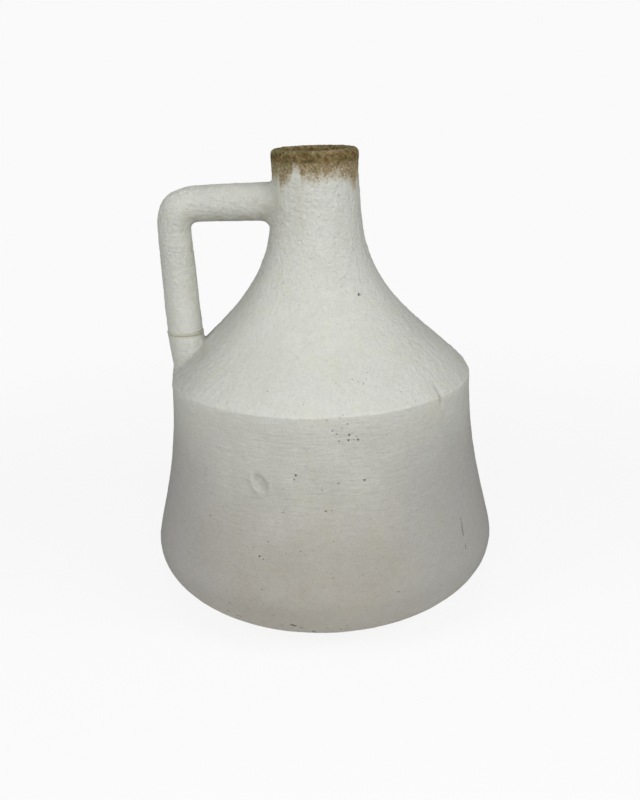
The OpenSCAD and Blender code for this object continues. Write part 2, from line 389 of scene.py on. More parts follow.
CRACK_TOP = (-37.1, 114.8)
CRACK_FOOT = (-37.9, 74.6)
NICK = (-42.5, 249)
DENT = (-112.3, 179)
SIDE_DENT = (-154, 100)
NECK_DENT = (-70.5, 366)
MARK_REACH = 12         # no mark touches points further off its surface than this


def pit_relief(p):
    """Depth of the pinholes and scars, and how dark they are painted: dirt and bare clay in them, with
    painted shade in the hollows.
    """
    depth = np.zeros(len(p))
    dirt_and_shade = np.zeros(len(p))

    def carve(shape, deep, darkness):
        np.maximum(depth, deep * shape, out=depth)
        np.maximum(dirt_and_shade, np.clip(darkness, 0, 1) * shape, out=dirt_and_shade)

    for angle, z, radius, deep in PITS:
        across, up, near = local(p, angle, z)
        wobble = 1 + 0.35 * np.sin(3 * np.arctan2(up, across) + angle)
        hole = 1 - ramp(np.hypot(across, up) / wobble, 0.4 * radius, 1.15 * radius)
        carve(hole * near, deep, 0.45 + 0.55 * deep)
    for angle, z, wide, high, deep, tilt in SCARS:
        across, up, near = local(p, angle, z)
        u, v = turned(across, up, tilt)
        scar = 1 - ramp(np.hypot(u / wide, v / high + 0.4 * np.sin(4 * u / wide)), 0.35, 1.1)
        carve(scar * near, deep, 0.65 * deep - 0.1)
    return depth, dirt_and_shade


def crack_relief(p):
    """The fine upright crack low on the right: one long stretch, and dots above and below it, darkened with
    dirt and painted shade.
    """
    z = p[:, 2]
    t = (CRACK_TOP[1] - z) / (CRACK_TOP[1] - CRACK_FOOT[1])
    angle = CRACK_TOP[0] + t * (CRACK_FOOT[0] - CRACK_TOP[0])
    wander = 0.5 * np.sin(z / 4.1) + 0.25 * np.sin(z / 1.7)
    across = np.radians(np.degrees(np.arctan2(p[:, 1], p[:, 0])) - angle) * BELLY_R - wander
    places = [0, 0.01, 0.03, 0.05, 0.08, 0.12, 0.25, 0.44, 0.48, 0.69, 0.72, 0.80, 0.83, 0.96, 0.98, 1.0]
    strength = [0, 0.9, 0.9, 0.1, 0.1, 0.7, 1.0, 0.8, 0, 0, 0.6, 0.6, 0, 0, 0.6, 0]
    stretch = np.interp(t, places, strength)
    line = (1 - ramp(np.abs(across), 0.25, 1.1)) * stretch * (np.abs(body_distance(p)) < 6)
    return 0.8 * line, line


def nick_relief(p):
    """The knock across the sharp edge: a soft slot with a low burr on its right, darkened with painted shade.
    """
    across, up, near = local(p, *NICK)
    slant = across - 0.12 * np.maximum(up, 0) + 0.5
    ends = ramp(up, -14, -3) * (1 - ramp(up, 6, 16)) * near
    slot = bell(slant / 2.4) * ends
    return 2.2 * slot - 0.3 * bell((slant - 4.2) / 2.2) * ends, 0.26 * slot


def dent_relief(p):
    """A thumb-sized lens, deepest along its upper right side, a narrow one far left, one on the neck."""
    across, up, near = local(p, *DENT)
    major, minor = turned(across, up, -52)
    minor = minor / 7.2
    rho = np.hypot(major / 11.5, minor)
    bowl = np.clip(1 - rho ** 2, 0, 1) ** 0.6 * (0.5 + 0.5 * np.clip(minor * 1.3, -1, 1))
    lip = bell((rho - 0.95) / 0.22) * np.clip(-minor, 0, 1)
    thumb = (6.2 * bowl - 2.0 * lip) * near
    across, up, near = local(p, *SIDE_DENT)
    side = np.clip(1 - (across / 4.5) ** 2 - (up / 7) ** 2, 0, 1) * (0.5 + 0.5 * np.clip(across / 4, -1, 1))
    side = 1.4 * side * near
    across, up, near = local(p, *NECK_DENT)
    ridge = bell(across / 11, (up + 8 - 0.02 * across ** 2) / 1.6)
    return thumb + side + (0.7 * bell(across / 6.5, up / 4.5) - 0.5 * ridge) * near


# Where the whitewash reaches up the lip (+) or the stain runs down the neck (-): angle, width, mm.
TONGUES = [
    (-152, 9, -1), (-139, 6, -7), (-116, 6, 9), (-113, 13, 5), (-106, 3, -5), (-93, 10, -1), (-68, 7, 4),
    (-58, 4, 5), (-30, 8, -9), (5, 12, 5), (48, 9, -7), (88, 12, 7), (130, 9, -5), (165, 12, 4)]


def stain_level(p):
    """How much bare, weathered clay shows: 1 on the lip, fading to 0 over a ragged band below it."""
    x, y, z = p.T
    angle = np.degrees(np.arctan2(y, x))
    edge = 454.5 + 3.0 * noise(p * [1, 1, 0.2], 17, 3) + 3.0 * noise(p * [1, 1, 0.3], 6.5, 5)
    for centre, width, rise in TONGUES:
        turn = (angle - centre + 180) % 360 - 180
        edge = edge + rise * np.exp(-(turn / width) ** 4)
    on_neck = 1 - ramp(np.hypot(x, y), NECK_R + 1, NECK_R + 5)
    return on_neck * ramp(z + 3.0 * noise(p, 4.0, 8) + 1.6 * noise(p, 1.9, 9), edge - 12, edge + 11)


# Dirty finger marks on the front of the arm: distance from the jug's axis, height, radius.
SMUDGES = [(60, 431, 3.6), (57, 415, 3.4), (71, 413.5, 3.2), (99, 415.5, 3.4), (52, 424, 2.8)]


def above_edge(z):
    return ramp(z, EDGE_Z - 1, EDGE_Z + 2)


def from_edge(p):
    """How far points are from the sharp edge."""
    return np.hypot(np.hypot(p[:, 0], p[:, 1]) - EDGE_R, p[:, 2] - EDGE_Z)


def near_body(p):
    """1 on the body, fading to 0 a few millimetres off it, where the handle is."""
    held = np.stack([p[:, 0], p[:, 1], np.minimum(p[:, 2], JUG_H - 8)], 1)
    return 1 - ramp(body_distance(held), 1, 5)


def grime_level(p):
    """Yellowish dirt: under the arm, inside the grip, in the crook, and in patches down the front."""
    x, y, z = p.T
    front = y < 0
    cloud = 0.5 + 0.7 * noise(p, 9, 51) + 0.4 * noise(p, 4, 52)
    under = ramp(ARM_Z - z, -2, 17) * ramp(z, 390, 410) * ramp(x, -150, -120)
    inner = ramp(x + GRIP_X, 2, 17) * ramp(z, 292, 330) * (1 - ramp(z, 372, 412)) * 0.7
    elbow = ramp(z, 386, 420) * ramp(-x, 108, 132) * 0.2
    level = (under + inner + elbow) * np.clip(cloud, 0, 1.4) * (1 - near_body(p)) * (x < -44)
    fingers = np.clip(0.7 + 0.8 * noise(p, 3, 53), 0, 1.5)
    for reach, height, radius in SMUDGES:
        level = level + 1.1 * bell((x + reach) / radius, (z - height) / radius) * front * fingers
    level += 0.85 * bell((x + 38) / 13, (z - 418) / 19) * (y < 8) * np.clip(cloud + 0.2, 0, 1)
    level += 0.7 * bell((x + 121) / 5, (z - 281) / 6) * (y < 8)
    level += 0.45 * bell((x + 16) / 8) * ramp(z, 385, 425) * (1 - ramp(z, 444, 456)) * front
    level += 0.7 * bell((x - 3) / 17, (z - 143) / 22) * front * np.clip(cloud, 0, 1)
    return np.clip(level, 0, 1.3)


def painted_shade_level(p):
    """Where the wash is painted darker as shade: the flanks of the shoulder, round the stub's foot, the arm's
    root on the neck and the grip's outer side, with the arm a little darker all over.
    """
    x, y, z = p.T
    turn = x / np.maximum(np.hypot(x, y), 1)
    flank = np.maximum(ramp(-turn, 0.72, 0.98), 0.5 * ramp(turn, 0.75, 1.0)) * above_edge(z)
    off_stub = stub_distance(p)
    round_foot = ramp(off_stub, 0.5, 2.5) * (1 - ramp(off_stub, 3, 14)) * (z < SEAM[2] + 12)
    outer = 0.65 - 0.65 * ramp(x + GRIP_X, -12, 14)
    handle = outer + (0.4 - outer) * ramp(x, -128, -112)
    root = 1.1 * bell((x + 47) / 5, (z - ARM_Z) / 13) * (y < 0)
    body = near_body(p)
    return np.clip(body * np.maximum(flank, 1.2 * round_foot) + handle * (1 - body) + root, 0, 1.3)


def streaks(p):
    """Diagonal wiping strokes on the shoulder beside the stub."""
    x, y, z = p.T
    near = ramp(-x, 96, 122) * ramp(z, 252, 258) * (1 - ramp(z, 282, 300)) * ramp(-y, 8, 30)
    along = np.stack([(x + y) / 26.0, (x - y) / 26.0, (z * 1.1 + 0.75 * y) / 2.3], 1)
    return near * noise(along, 1.0, 21)


def relief(p):
    """Height of the surface above its smooth shape, in millimetres, how dark its marks are painted (dirt with
    painted shade), and the stain on it.
    """
    x, _, z = p.T
    above = above_edge(z)
    held = near_body(p)
    neck = ramp(z, 300, 390) * (0.3 + 0.7 * held)
    worked = 0.8 + 1.7 * ramp(np.abs(x), 45, 110) * above * held
    high = 0.20 * noise(p, 17, 1)
    high += (0.16 + 0.04 * above + 0.30 * neck) * worked * noise(p, 7.5, 2)
    high += (0.14 + 0.08 * above + 0.38 * neck) * worked * noise(p, 3.7, 4)
    high += (0.02 + 0.04 * above + 0.16 * neck) * noise(p, 2.0, 11)
    band = ramp(z, 60, 190) * (1 - above) * (0.75 + 0.5 * noise(p, 45, 15))
    rings = noise(p, [18, 18, 3.3], 7) + 0.7 * noise(p, [12, 12, 2.1], 10)
    away = ramp(np.hypot(x - on_body(*DENT)[0][0], z - DENT[1]), 8, 18)
    high += (0.08 + (0.20 + 0.14 * ramp(z, 195, 235)) * band) * rings * (1 - above) * (0.3 + 0.7 * away)
    high += 0.8 * streaks(p)
    worn_side = ramp(-x, 60, 120) + 0.7 * ramp(x, 75, 120)
    worn = 0.35 * noise(p, 9, 16) * (1 + 1.2 * worn_side) - 0.7 * worn_side
    high += bell(from_edge(p) / 3.2) * worn
    stain = stain_level(p)
    crust = 0.34 * noise(p, 4.4, 12) + 0.26 * noise(p, 2.3, 13) + 0.12 * noise(p, 1.2, 14)
    high = high * (1 - 0.5 * stain) + stain * (crust + 0.1)
    pits, dirt_and_shade = pit_relief(p)
    crack, crack_dirt_and_shade = crack_relief(p)
    nick, nick_shade = nick_relief(p)
    high -= pits + crack + nick + dent_relief(p)
    return high, np.maximum.reduce([dirt_and_shade, crack_dirt_and_shade, nick_shade]), stain


def sheen_and_wear_level(p):
    """Where the sharp edge is painted pale: rubbed wear with a painted highlight along its crest."""
    crisp = 1 - ramp(-p[:, 0], 30, 90)
    return bell(from_edge(p) / 1.5) * crisp * np.clip(0.65 + 0.9 * noise(p, 11, 61), 0, 1)


def warp(p):
    """Slow unevenness of a hand-built pot, none of it at the foot."""
    x, _, z = p.T
    sway = np.stack([noise(p, 120, 31), noise(p, 120, 32), 0.6 * noise(p, 120, 33)], 1)
    moved = p + 0.45 * sway * ramp(z, 4, 60)[:, None]
    moved[:, 0] -= 1.1 * bell((z - 322) / 38) * (1 - ramp(-x, 115, 135))
    level = p * [1, 1, 0]
    moved[:, 2] += ramp(z, LIP_Z, JUG_H) * (0.4 * noise(level, 26, 34) + 0.2 * noise(level, 9, 35))
    return moved


# -------- meshes


# Vertices, their normals, how much outside and inside relief each gets, and faces, before displacement.
Sheet = namedtuple("Sheet", "points normals skin inside faces")


def closed_grid(points, normals, skin, inside=0.0, loop=True):
    """rows x columns of points as quads. Columns wrap. Rows wrap too, or end in a fan at each pole."""
    points = np.array(points)
    rows, columns = points.shape[:2]
    column = np.arange(columns)
    after = (column + 1) % columns
    faces = []
    for i in range(rows if loop else rows - 1):
        a, b = i * columns, (i + 1) % rows * columns
        faces += np.stack([a + column, a + after, b + after, b + column], 1).tolist()
    values = [points.reshape(-1, 3), np.reshape(normals, (-1, 3))]
    values += [np.repeat(np.broadcast_to(level, rows), columns) for level in (skin, inside)]
    if not loop:
        first, last = rows * columns, (rows - 1) * columns
        values = [
            np.concatenate([v, v[:columns].mean(0, keepdims=True), v[last:].mean(0, keepdims=True)])
            for v in values]
        faces += np.stack([column, np.full(columns, first), after], 1).tolist()
        faces += np.stack([last + column, last + after, np.full(columns, first + 1)], 1).tolist()
    points, normals, skin, inside = values
    return Sheet(points, unit(normals), skin, inside, faces)


def refine(sheet, spots, cuts):
    """Splits the quads near spots into cuts x cuts smaller ones; their neighbours keep shared edges."""
    centres = np.array([sheet.points[f].mean(0) for f in sheet.faces])
    chosen = np.zeros(len(centres), bool)
    for point, reach in spots:
        chosen |= np.linalg.norm(centres - point, axis=1) < reach
    sources = []
    edges = {}
    first_new = len(sheet.points)

    def blend_vertex(corners, weights):
        sources.append((corners, weights))
        return first_new + len(sources) - 1

    def split(a, b):
        low, high = min(a, b), max(a, b)
        if (low, high) not in edges:
            edges[low, high] = [
                blend_vertex((low, high, low, high), (1 - k / cuts, k / cuts, 0, 0)) for k in range(1, cuts)]
        inner = edges[low, high]
        return inner if a == low else inner[::-1]

    faces = []
    for face in (f for f, c in zip(sheet.faces, chosen) if c):
        a, b, c, d = face
        rows = [[a, *split(a, b), b]]
        left, right = split(a, d), split(b, c)
        for i in range(1, cuts):
            v = i / cuts
            middle = [
                blend_vertex((a, b, c, d), ((1 - u) * (1 - v), u * (1 - v), u * v, (1 - u) * v))
                for u in (k / cuts for k in range(1, cuts))]
            rows.append([left[i - 1], *middle, right[i - 1]])
        rows.append([d, *split(d, c), c])
        for i in range(cuts):
            for k in range(cuts):
                faces.append([rows[i][k], rows[i][k + 1], rows[i + 1][k + 1], rows[i + 1][k]])
    for face in (f for f, c in zip(sheet.faces, chosen) if not c):
        ring = []
        for a, b in zip(face, face[1:] + face[:1]):
            ring.append(a)
            ring += edges.get((min(a, b), max(a, b)), [])[::1 if a < b else -1]
        faces.append(ring)
    corners = np.array([s[0] for s in sources])
    weights = np.array([s[1] for s in sources])

    def mixed(values):
        added = (values[corners].T * weights.T).sum(-2).T
        return np.concatenate([values, added])

    return Sheet(
        mixed(sheet.points), unit(mixed(sheet.normals)), mixed(sheet.skin), mixed(sheet.inside), faces)


def make_piece(name, sheet, slot, replaces, looks):
    """Displaces a sheet, writes it as a closed mesh in metres and hands it to the frame."""
    p = sheet.points
    high, dirt_and_shade, stain = relief(p)
    rough_inside = 0.5 * noise(p, [60, 60, 6.5], 41) + 0.2 * noise(p, 5, 42)
    shift = sheet.skin * high + sheet.inside * rough_inside
    points = warp(p) + sheet.normals * shift[:, None]
    points[:, 2] = np.maximum(points[:, 2], 0)
    mesh = bpy.data.meshes.new(name)
    mesh.from_pydata((points * MM).tolist(), [], sheet.faces)
    mesh.validate()
    mesh.shade_smooth()
    mesh.set_sharp_from_angle(angle=math.radians(50))
    # Levels for the material: dark in the marks is dirt with painted shade, the grey level is painted shade,
    # and the pale edge line is wear with a painted highlight.
    levels = {"dirt_and_shade": dirt_and_shade, "stain": stain, "outside": 1, "grime": grime_level(p), "sheen_and_wear": sheen_and_wear_level(p),
              "grey": painted_shade_level(p)}
    for level, values in levels.items():
        attribute = mesh.attributes.new(level, "FLOAT", "POINT")
        attribute.data.foreach_set("value", (values * np.clip(sheet.skin, 0, 1)).astype(np.float32))
    piece = bpy.data.objects.new(name, mesh)
    bpy.context.scene.collection.objects.link(piece)
    mesh.materials.append(looks[slot])
    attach(piece, "root")
    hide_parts(*replaces)
    return piece


# -------- pieces turned round the jug's axis


def rows_of(rz, normal, skin, inside):
    """Rows of radius, height, their normal, and how much outside and inside relief they get."""
    return np.column_stack([rz, normal, np.full(len(rz), skin), np.full(len(rz), inside)])


def skin_rows(s0, s1, spacing):
    """Rows of the outer outline from s0 to s1, closer together near the sharp edge."""
    s = np.linspace(s0, s1, 4000)
    step = EDGE_SPACING + (spacing - EDGE_SPACING) * ramp(np.abs(s - S_EDGE), 1, 5)
    count = np.r_[0, np.cumsum(np.diff(s) / ((step[1:] + step[:-1]) / 2))]
    stations = np.interp(np.linspace(0, count[-1], int(round(count[-1])) + 1), count, s)
    return rows_of(*PROFILE.at(stations), 1.0, 0.0)


def plain_rows(points, inside=0.0):
    """Rows through given (radius, height) points with no outside relief, facing their own way."""
    points = np.array(points, float)
    return rows_of(points, outline_normals(points), 0.0, inside)


def inset_rows(z0, z1, spacing):
    """Rows of the inner wall, a wall's thickness inside the outline, walked from height z0 to z1."""
    s0, s1 = PROFILE.length_at_height(z0), PROFILE.length_at_height(z1)
    rz, normal = PROFILE.at(np.linspace(s0, s1, int(abs(s1 - s0) / spacing)))
    return rows_of(rz - WALL * normal, -normal, 0.0, 1.0)


def revolve(rows, columns=AROUND, loop=True):
    """Rows turned round the jug's axis, as a sheet."""
    rows = np.concatenate(rows)
    r, z, facing_r, facing_z = rows[:, :4, None].transpose(1, 0, 2)
    angle = turns(columns)
    return closed_grid(spin(r, z, angle), spin(facing_r, facing_z, angle), rows[:, 4], rows[:, 5], loop)


def between_points(a, b, spacing):
    return np.linspace(a, b, int(np.linalg.norm(np.subtract(b, a)) / spacing) + 1)


def mark_spots(low, high):
    """Places between two heights where the mesh has to be fine enough to hold a mark."""
    spots = [(on_body(a, z)[0], 1.6 + 1.3 * r) for a, z, r, _ in PITS if low < z < high]
    spots += [(on_body(a, z)[0], 1.5 + max(w, h)) for a, z, w, h, *_ in SCARS if low < z < high]
    if low < CRACK_FOOT[1] < high:
        spots += [(on_body(a, z)[0], 2.4) for a, z in np.linspace(CRACK_TOP, CRACK_FOOT, 16)]
    point, right, up = on_body(*NICK)
    spots += [(point + lift * (up - 0.22 * right), 4.0) for lift in (-9, -5, 0, 5, 9)
              if low <= NICK[1] + lift <= high]
    return spots


def build_body(looks):
    """Floor, wall, shoulder, neck and lip, and the two coils pressed into the inner corners."""
    tongue_in, tongue_out, tongue_z = TONGUE_R - 1.5, TONGUE_R + 1.5, EDGE_Z - TONGUE_H
    tongue = [(tongue_out, EDGE_Z), (tongue_out, tongue_z), (tongue_in, tongue_z), (tongue_in, EDGE_Z)]
    edge_corner = (EDGE_R - WALL, EDGE_Z)
    floor_corner = (FOOT_R - 1, FLOOR_H)
    lap_top = NECK_ROOT_Z + LAP_H

    wall = revolve([
        skin_rows(0, S_EDGE, 2.35),
        plain_rows([*tongue, edge_corner]),
        inset_rows(EDGE_Z - 24, WALL, 9.0),
        plain_rows([floor_corner, (REBATE_R, FLOOR_H), (REBATE_R, REBATE_H), (SLAB_R, REBATE_H)]),
    ])
    wall = refine(wall, mark_spots(0, EDGE_Z), 6)
    make_piece("lower_wall_body", wall, "whitewash_body", ["lower_wall"], looks)

    shoulder = revolve([
        skin_rows(S_EDGE, S_NECK, 2.0),
        plain_rows([(LAP_R, NECK_ROOT_Z), (LAP_R, lap_top), (BORE_R, lap_top), (BORE_R, BORE_Z)]),
        inset_rows(BORE_Z - 12, EDGE_Z + 20, 8.0),
        plain_rows([edge_corner, *tongue[::-1]]),
    ])
    shoulder = refine(shoulder, mark_spots(EDGE_Z, 400), 6)
    make_piece("shoulder_cone", shoulder, "whitewash_shoulder", ["shoulder"], looks)

    neck = revolve([
        skin_rows(S_NECK, S_LIP, 1.1),
        plain_rows([(LIP_LAP_R, LIP_Z), (LIP_LAP_R, LIP_LAP_Z)]),
        plain_rows(between_points((BORE_R, LIP_LAP_Z), (BORE_R, lap_top), 4), inside=0.35),
        plain_rows([(LAP_R, lap_top), (LAP_R, NECK_ROOT_Z)]),
    ])
    make_piece("neck_throat", neck, "whitewash_shoulder", ["neck"], looks)

    lip = revolve([
        skin_rows(S_LIP, S_END, 0.8),
        plain_rows([(LIP_LAP_R, LIP_LAP_Z), (LIP_LAP_R, LIP_Z)]),
    ])
    make_piece("rim_lip_ring", lip, "stained_clay", ["rim_lip"], looks)

    slab = revolve([
        plain_rows(between_points((3, 0), (SLAB_R, 0), 5)),
        plain_rows([(SLAB_R, REBATE_H), (REBATE_R, REBATE_H), (REBATE_R, FLOOR_H)]),
        plain_rows(between_points((REBATE_R - 3, FLOOR_H), (3, FLOOR_H), 5), inside=0.5),
    ], columns=240, loop=False)
    make_piece("floor_slab", slab, "bare_clay", ["floor"], looks)

    make_coil("floor_luting_coil", "floor_seam_coil", floor_corner,
              [(FOOT_R - 15, FLOOR_H + 0.2), (142.5, 21.0)], 2.0, looks)
    make_coil("edge_luting_coil", "shoulder_seam_coil", edge_corner,
              [(137.8, 263.0), (EDGE_R - WALL, EDGE_Z - 18)], 3.5, looks)


def make_coil(name, node, corner, ends, bulge, looks):
    """A coil pressed into an inner corner, with a thumb mark every few centimetres."""
    across = 18
    angle = turns(360)
    start, end = np.array(ends)
    outward = unit((start + end) / 2 - corner)
    thumbs = 0.5 + 0.5 * np.cos(angle * 26 + 0.8 * np.sin(angle * 5))
    t = np.linspace(0, 1, across)[:, None, None]
    swell = bulge * np.sin(math.pi * t) * (1 - 0.55 * thumbs[:, None])
    rows = start + (end - start) * t + swell * outward
    rows = np.concatenate([rows, np.broadcast_to(corner, (1, len(angle), 2))])
    points = spin(rows[..., 0], rows[..., 1], angle)
    normals = np.broadcast_to(spin(*outward, angle), points.shape)
    inside = np.r_[0, np.full(across - 2, 0.4), 0, 0]
    make_piece(name, closed_grid(points, normals, 0.0, inside), "bare_clay", [node], looks)


# -------- the handle's pieces


def find_surface(start, direction, low, high, depth):
    """Lengths along direction from start at which the line is depth inside the jug's body."""
    low = np.full(len(start), float(low))
    high = np.full(len(start), float(high))
    for _ in range(30):
        middle = (low + high) / 2
        outside = body_distance(start + middle[:, None] * direction) > -depth
        low = np.where(outside, middle, low)
        high = np.where(outside, high, middle)
    return (low + high) / 2


def ring_directions(out, angle):
    return np.cos(angle)[..., None] * out + np.sin(angle)[..., None] * SIDEWAYS


def build_handle_tube(looks):
    """Arm, elbow and grip as one hollow tube, its first end cut to the neck's curve."""
    angle = turns(TUBE_AROUND)
    base, up = tube_frame(ARM_REACH)
    rows, normals, skins = [], [], []

    def cope(radius):
        ring = base + radius * ring_directions(up, angle)
        return ARM_REACH - find_surface(ring, TO_JUG, *ARM_SEARCH, 1.0)

    def add_ring(s, radius, skin):
        centre, out = tube_frame(s)
        direction = ring_directions(out, angle)
        rows.append(centre + radius * direction)
        normals.append(direction if skin else -direction)
        skins.append(skin)

    start = cope(ARM_R)
    near_neck = start + np.linspace(0, 1, 36)[:, None] * (ARM_REACH - start)
    for s in (*near_neck, *np.arange(ARM_REACH + 1, HANDLE_LEN), HANDLE_LEN):
        add_ring(s, tube_radius(s, np.cos(angle))[:, None], 1)
    for s in (*np.arange(HANDLE_LEN, ARM_REACH, -6), cope(HOLLOW_R)):
        add_ring(s, HOLLOW_R, 0)
    make_piece("handle_loop", closed_grid(rows, normals, skins), "whitewash_shoulder", ["handle_tube"], looks)


def build_collar(looks):
    """The ring of slip squeezed out of the seam: a shallow groove with a soft bead above it."""
    outline = np.array([
        (HOLLOW_R, 0), (COLLAR_R, 0), (19.1, 0.6), (19.1, 1.1), (18.95, 1.5), (COLLAR_R, 1.9), (19.15, 2.3),
        (19.45, 2.9), (19.65, 3.6), (19.5, 4.3), (19.1, 4.9), (18.7, 5.3), (18.3, 5.4), (HOLLOW_R, COLLAR_H)])
    angle = turns(TUBE_AROUND)
    direction = ring_directions(GRIP_OUT, angle)
    level = STUB_R * math.sin(GRIP_LEAN) * np.cos(angle)
    rows = []
    for radius, lift in outline:
        rise = lift + level * ramp(lift, 0.5, 2.5) * (radius > HOLLOW_R)
        width = radius - 0.25 * max(radius - COLLAR_R, 0) * (1 - np.cos(angle))
        rows.append(SEAM + width[:, None] * direction - rise[:, None] * GRIP_DOWN)
    normals = [out * direction - up * GRIP_DOWN for out, up in outline_normals(outline)]
    sheet = closed_grid(rows, normals, outline[:, 0] > HOLLOW_R)
    make_piece("seam_collar", sheet, "seam_slip", ["handle_seam_collar"], looks)


def build_stub(looks):
    """The post on the shoulder, its foot cut to the shoulder's curve and its spigot up in the grip."""
    angle = turns(TUBE_AROUND)
    direction = ring_directions(STUB_OUT, angle)
    upright = ring_directions(GRIP_OUT, angle)

    def foot(radius):
        ring = SEAM + radius * direction
        return ring + find_surface(ring, STUB_DOWN, *STUB_SEARCH, 1.2)[:, None] * STUB_DOWN

    def side(t):
        line = top + t * (toe - top)
        down = (line - SEAM) @ STUB_DOWN
        return SEAM + down[:, None] * STUB_DOWN + stub_radius(down)[:, None] * direction

    top = SEAM + (STUB_R + 0.2) * upright
    toe = foot(STUB_R)
    spigot = [SEAM + r * upright - lift * GRIP_DOWN for r, lift in
              ((3, 26), (7, 26), (9.2, 26), (SPIGOT_R, 25), (SPIGOT_R, 12), (SPIGOT_R, 0), (15, 0),
               (18.8, 0))]
    sides = [side(t) for t in np.linspace(0, 1, 46)]
    sole = [foot(radius) for radius in (15, 10, 6, 3)]
    rows = spigot + sides + sole
    skins = [0] * len(spigot) + [1] * len(sides) + [0] * len(sole)
    sheet = closed_grid(rows, [direction] * len(rows), skins, loop=False)
    make_piece("stub_post", sheet, "whitewash_shoulder", ["handle_stub"], looks)


def gradient(distance, p):
    """How fast a distance grows along each axis at the points, by small steps."""
    return np.stack([(distance(p + step) - distance(p - step)) / 0.1 for step in 0.05 * np.eye(3)], 1)


def build_fillet(name, node, tube_distance, crease, tube_way, out_way, blend, looks):
    """Clay smoothed into the corner between a tube and the body, along a ring of crease points."""
    across = 40

    def joined(p):
        a, b = body_distance(p), tube_distance(p)
        h = np.maximum(blend - np.abs(a - b), 0) / blend
        return np.minimum(a, b) - h * h * blend / 4

    body_normal = unit(gradient(body_distance, crease))
    away = unit(out_way - (out_way * body_normal).sum(1, keepdims=True) * body_normal)
    reach = 1.35 * blend[:, None]
    rows, normals = [], []
    for t in np.linspace(-1, 1, across):
        guess = crease + tube_way * max(-t, 0) * reach + away * max(t, 0) * reach
        for _ in range(7):
            g = gradient(joined, guess)
            guess = guess - joined(guess)[:, None] * g / np.maximum((g * g).sum(1, keepdims=True), 1e-6)
        bulge = np.minimum(body_distance(guess), tube_distance(guess)) - joined(guess)
        sink = 0.45 * (1 - ramp(bulge, 0.0, 0.10)) - 0.015
        normals.append(unit(gradient(joined, guess)))
        rows.append(guess - sink[:, None] * normals[-1])
    deep = crease - 2.0 * body_normal - 2.0 * out_way
    rows += [rows[-1] - body_normal, deep, rows[0] - out_way]
    normals += [-body_normal, -body_normal, -out_way]
    sheet = closed_grid(rows, normals, [1] * across + [0, 0, 0])
    make_piece(name, sheet, "whitewash_shoulder", [node], looks)


def build_fillets(looks):
    """The slip worked into the corner at the arm's root, and round the stub's foot."""
    angle = turns(220)
    out = ring_directions(UPWARDS, angle)
    ring = tube_frame(ARM_REACH)[0] + ARM_R * out
    crease = ring + find_surface(ring, TO_JUG, *ARM_SEARCH, 0.0)[:, None] * TO_JUG
    for _ in range(3):
        radial = crease * [0, 1, 1] - ARM_Z * UPWARDS
        wanted = tube_radius(-crease[:, 0], np.cos(angle))
        crease = crease + (wanted - np.linalg.norm(radial, axis=1))[:, None] * out
    build_fillet("arm_root_fillet", "handle_root_fillet", arm_distance, crease,
                 -TO_JUG, out, 7.5 - 3.8 * np.cos(angle), looks)
    out = ring_directions(STUB_OUT, angle)
    ring = SEAM + (STUB_R - 0.1) * out
    crease = ring + find_surface(ring, STUB_DOWN, *STUB_SEARCH, 0.0)[:, None] * STUB_DOWN
    build_fillet("stub_foot_smear", "stub_foot_fillet", stub_distance, crease,
                 -STUB_DOWN, out, 5.2 + np.cos(angle), looks)


# -------- materials


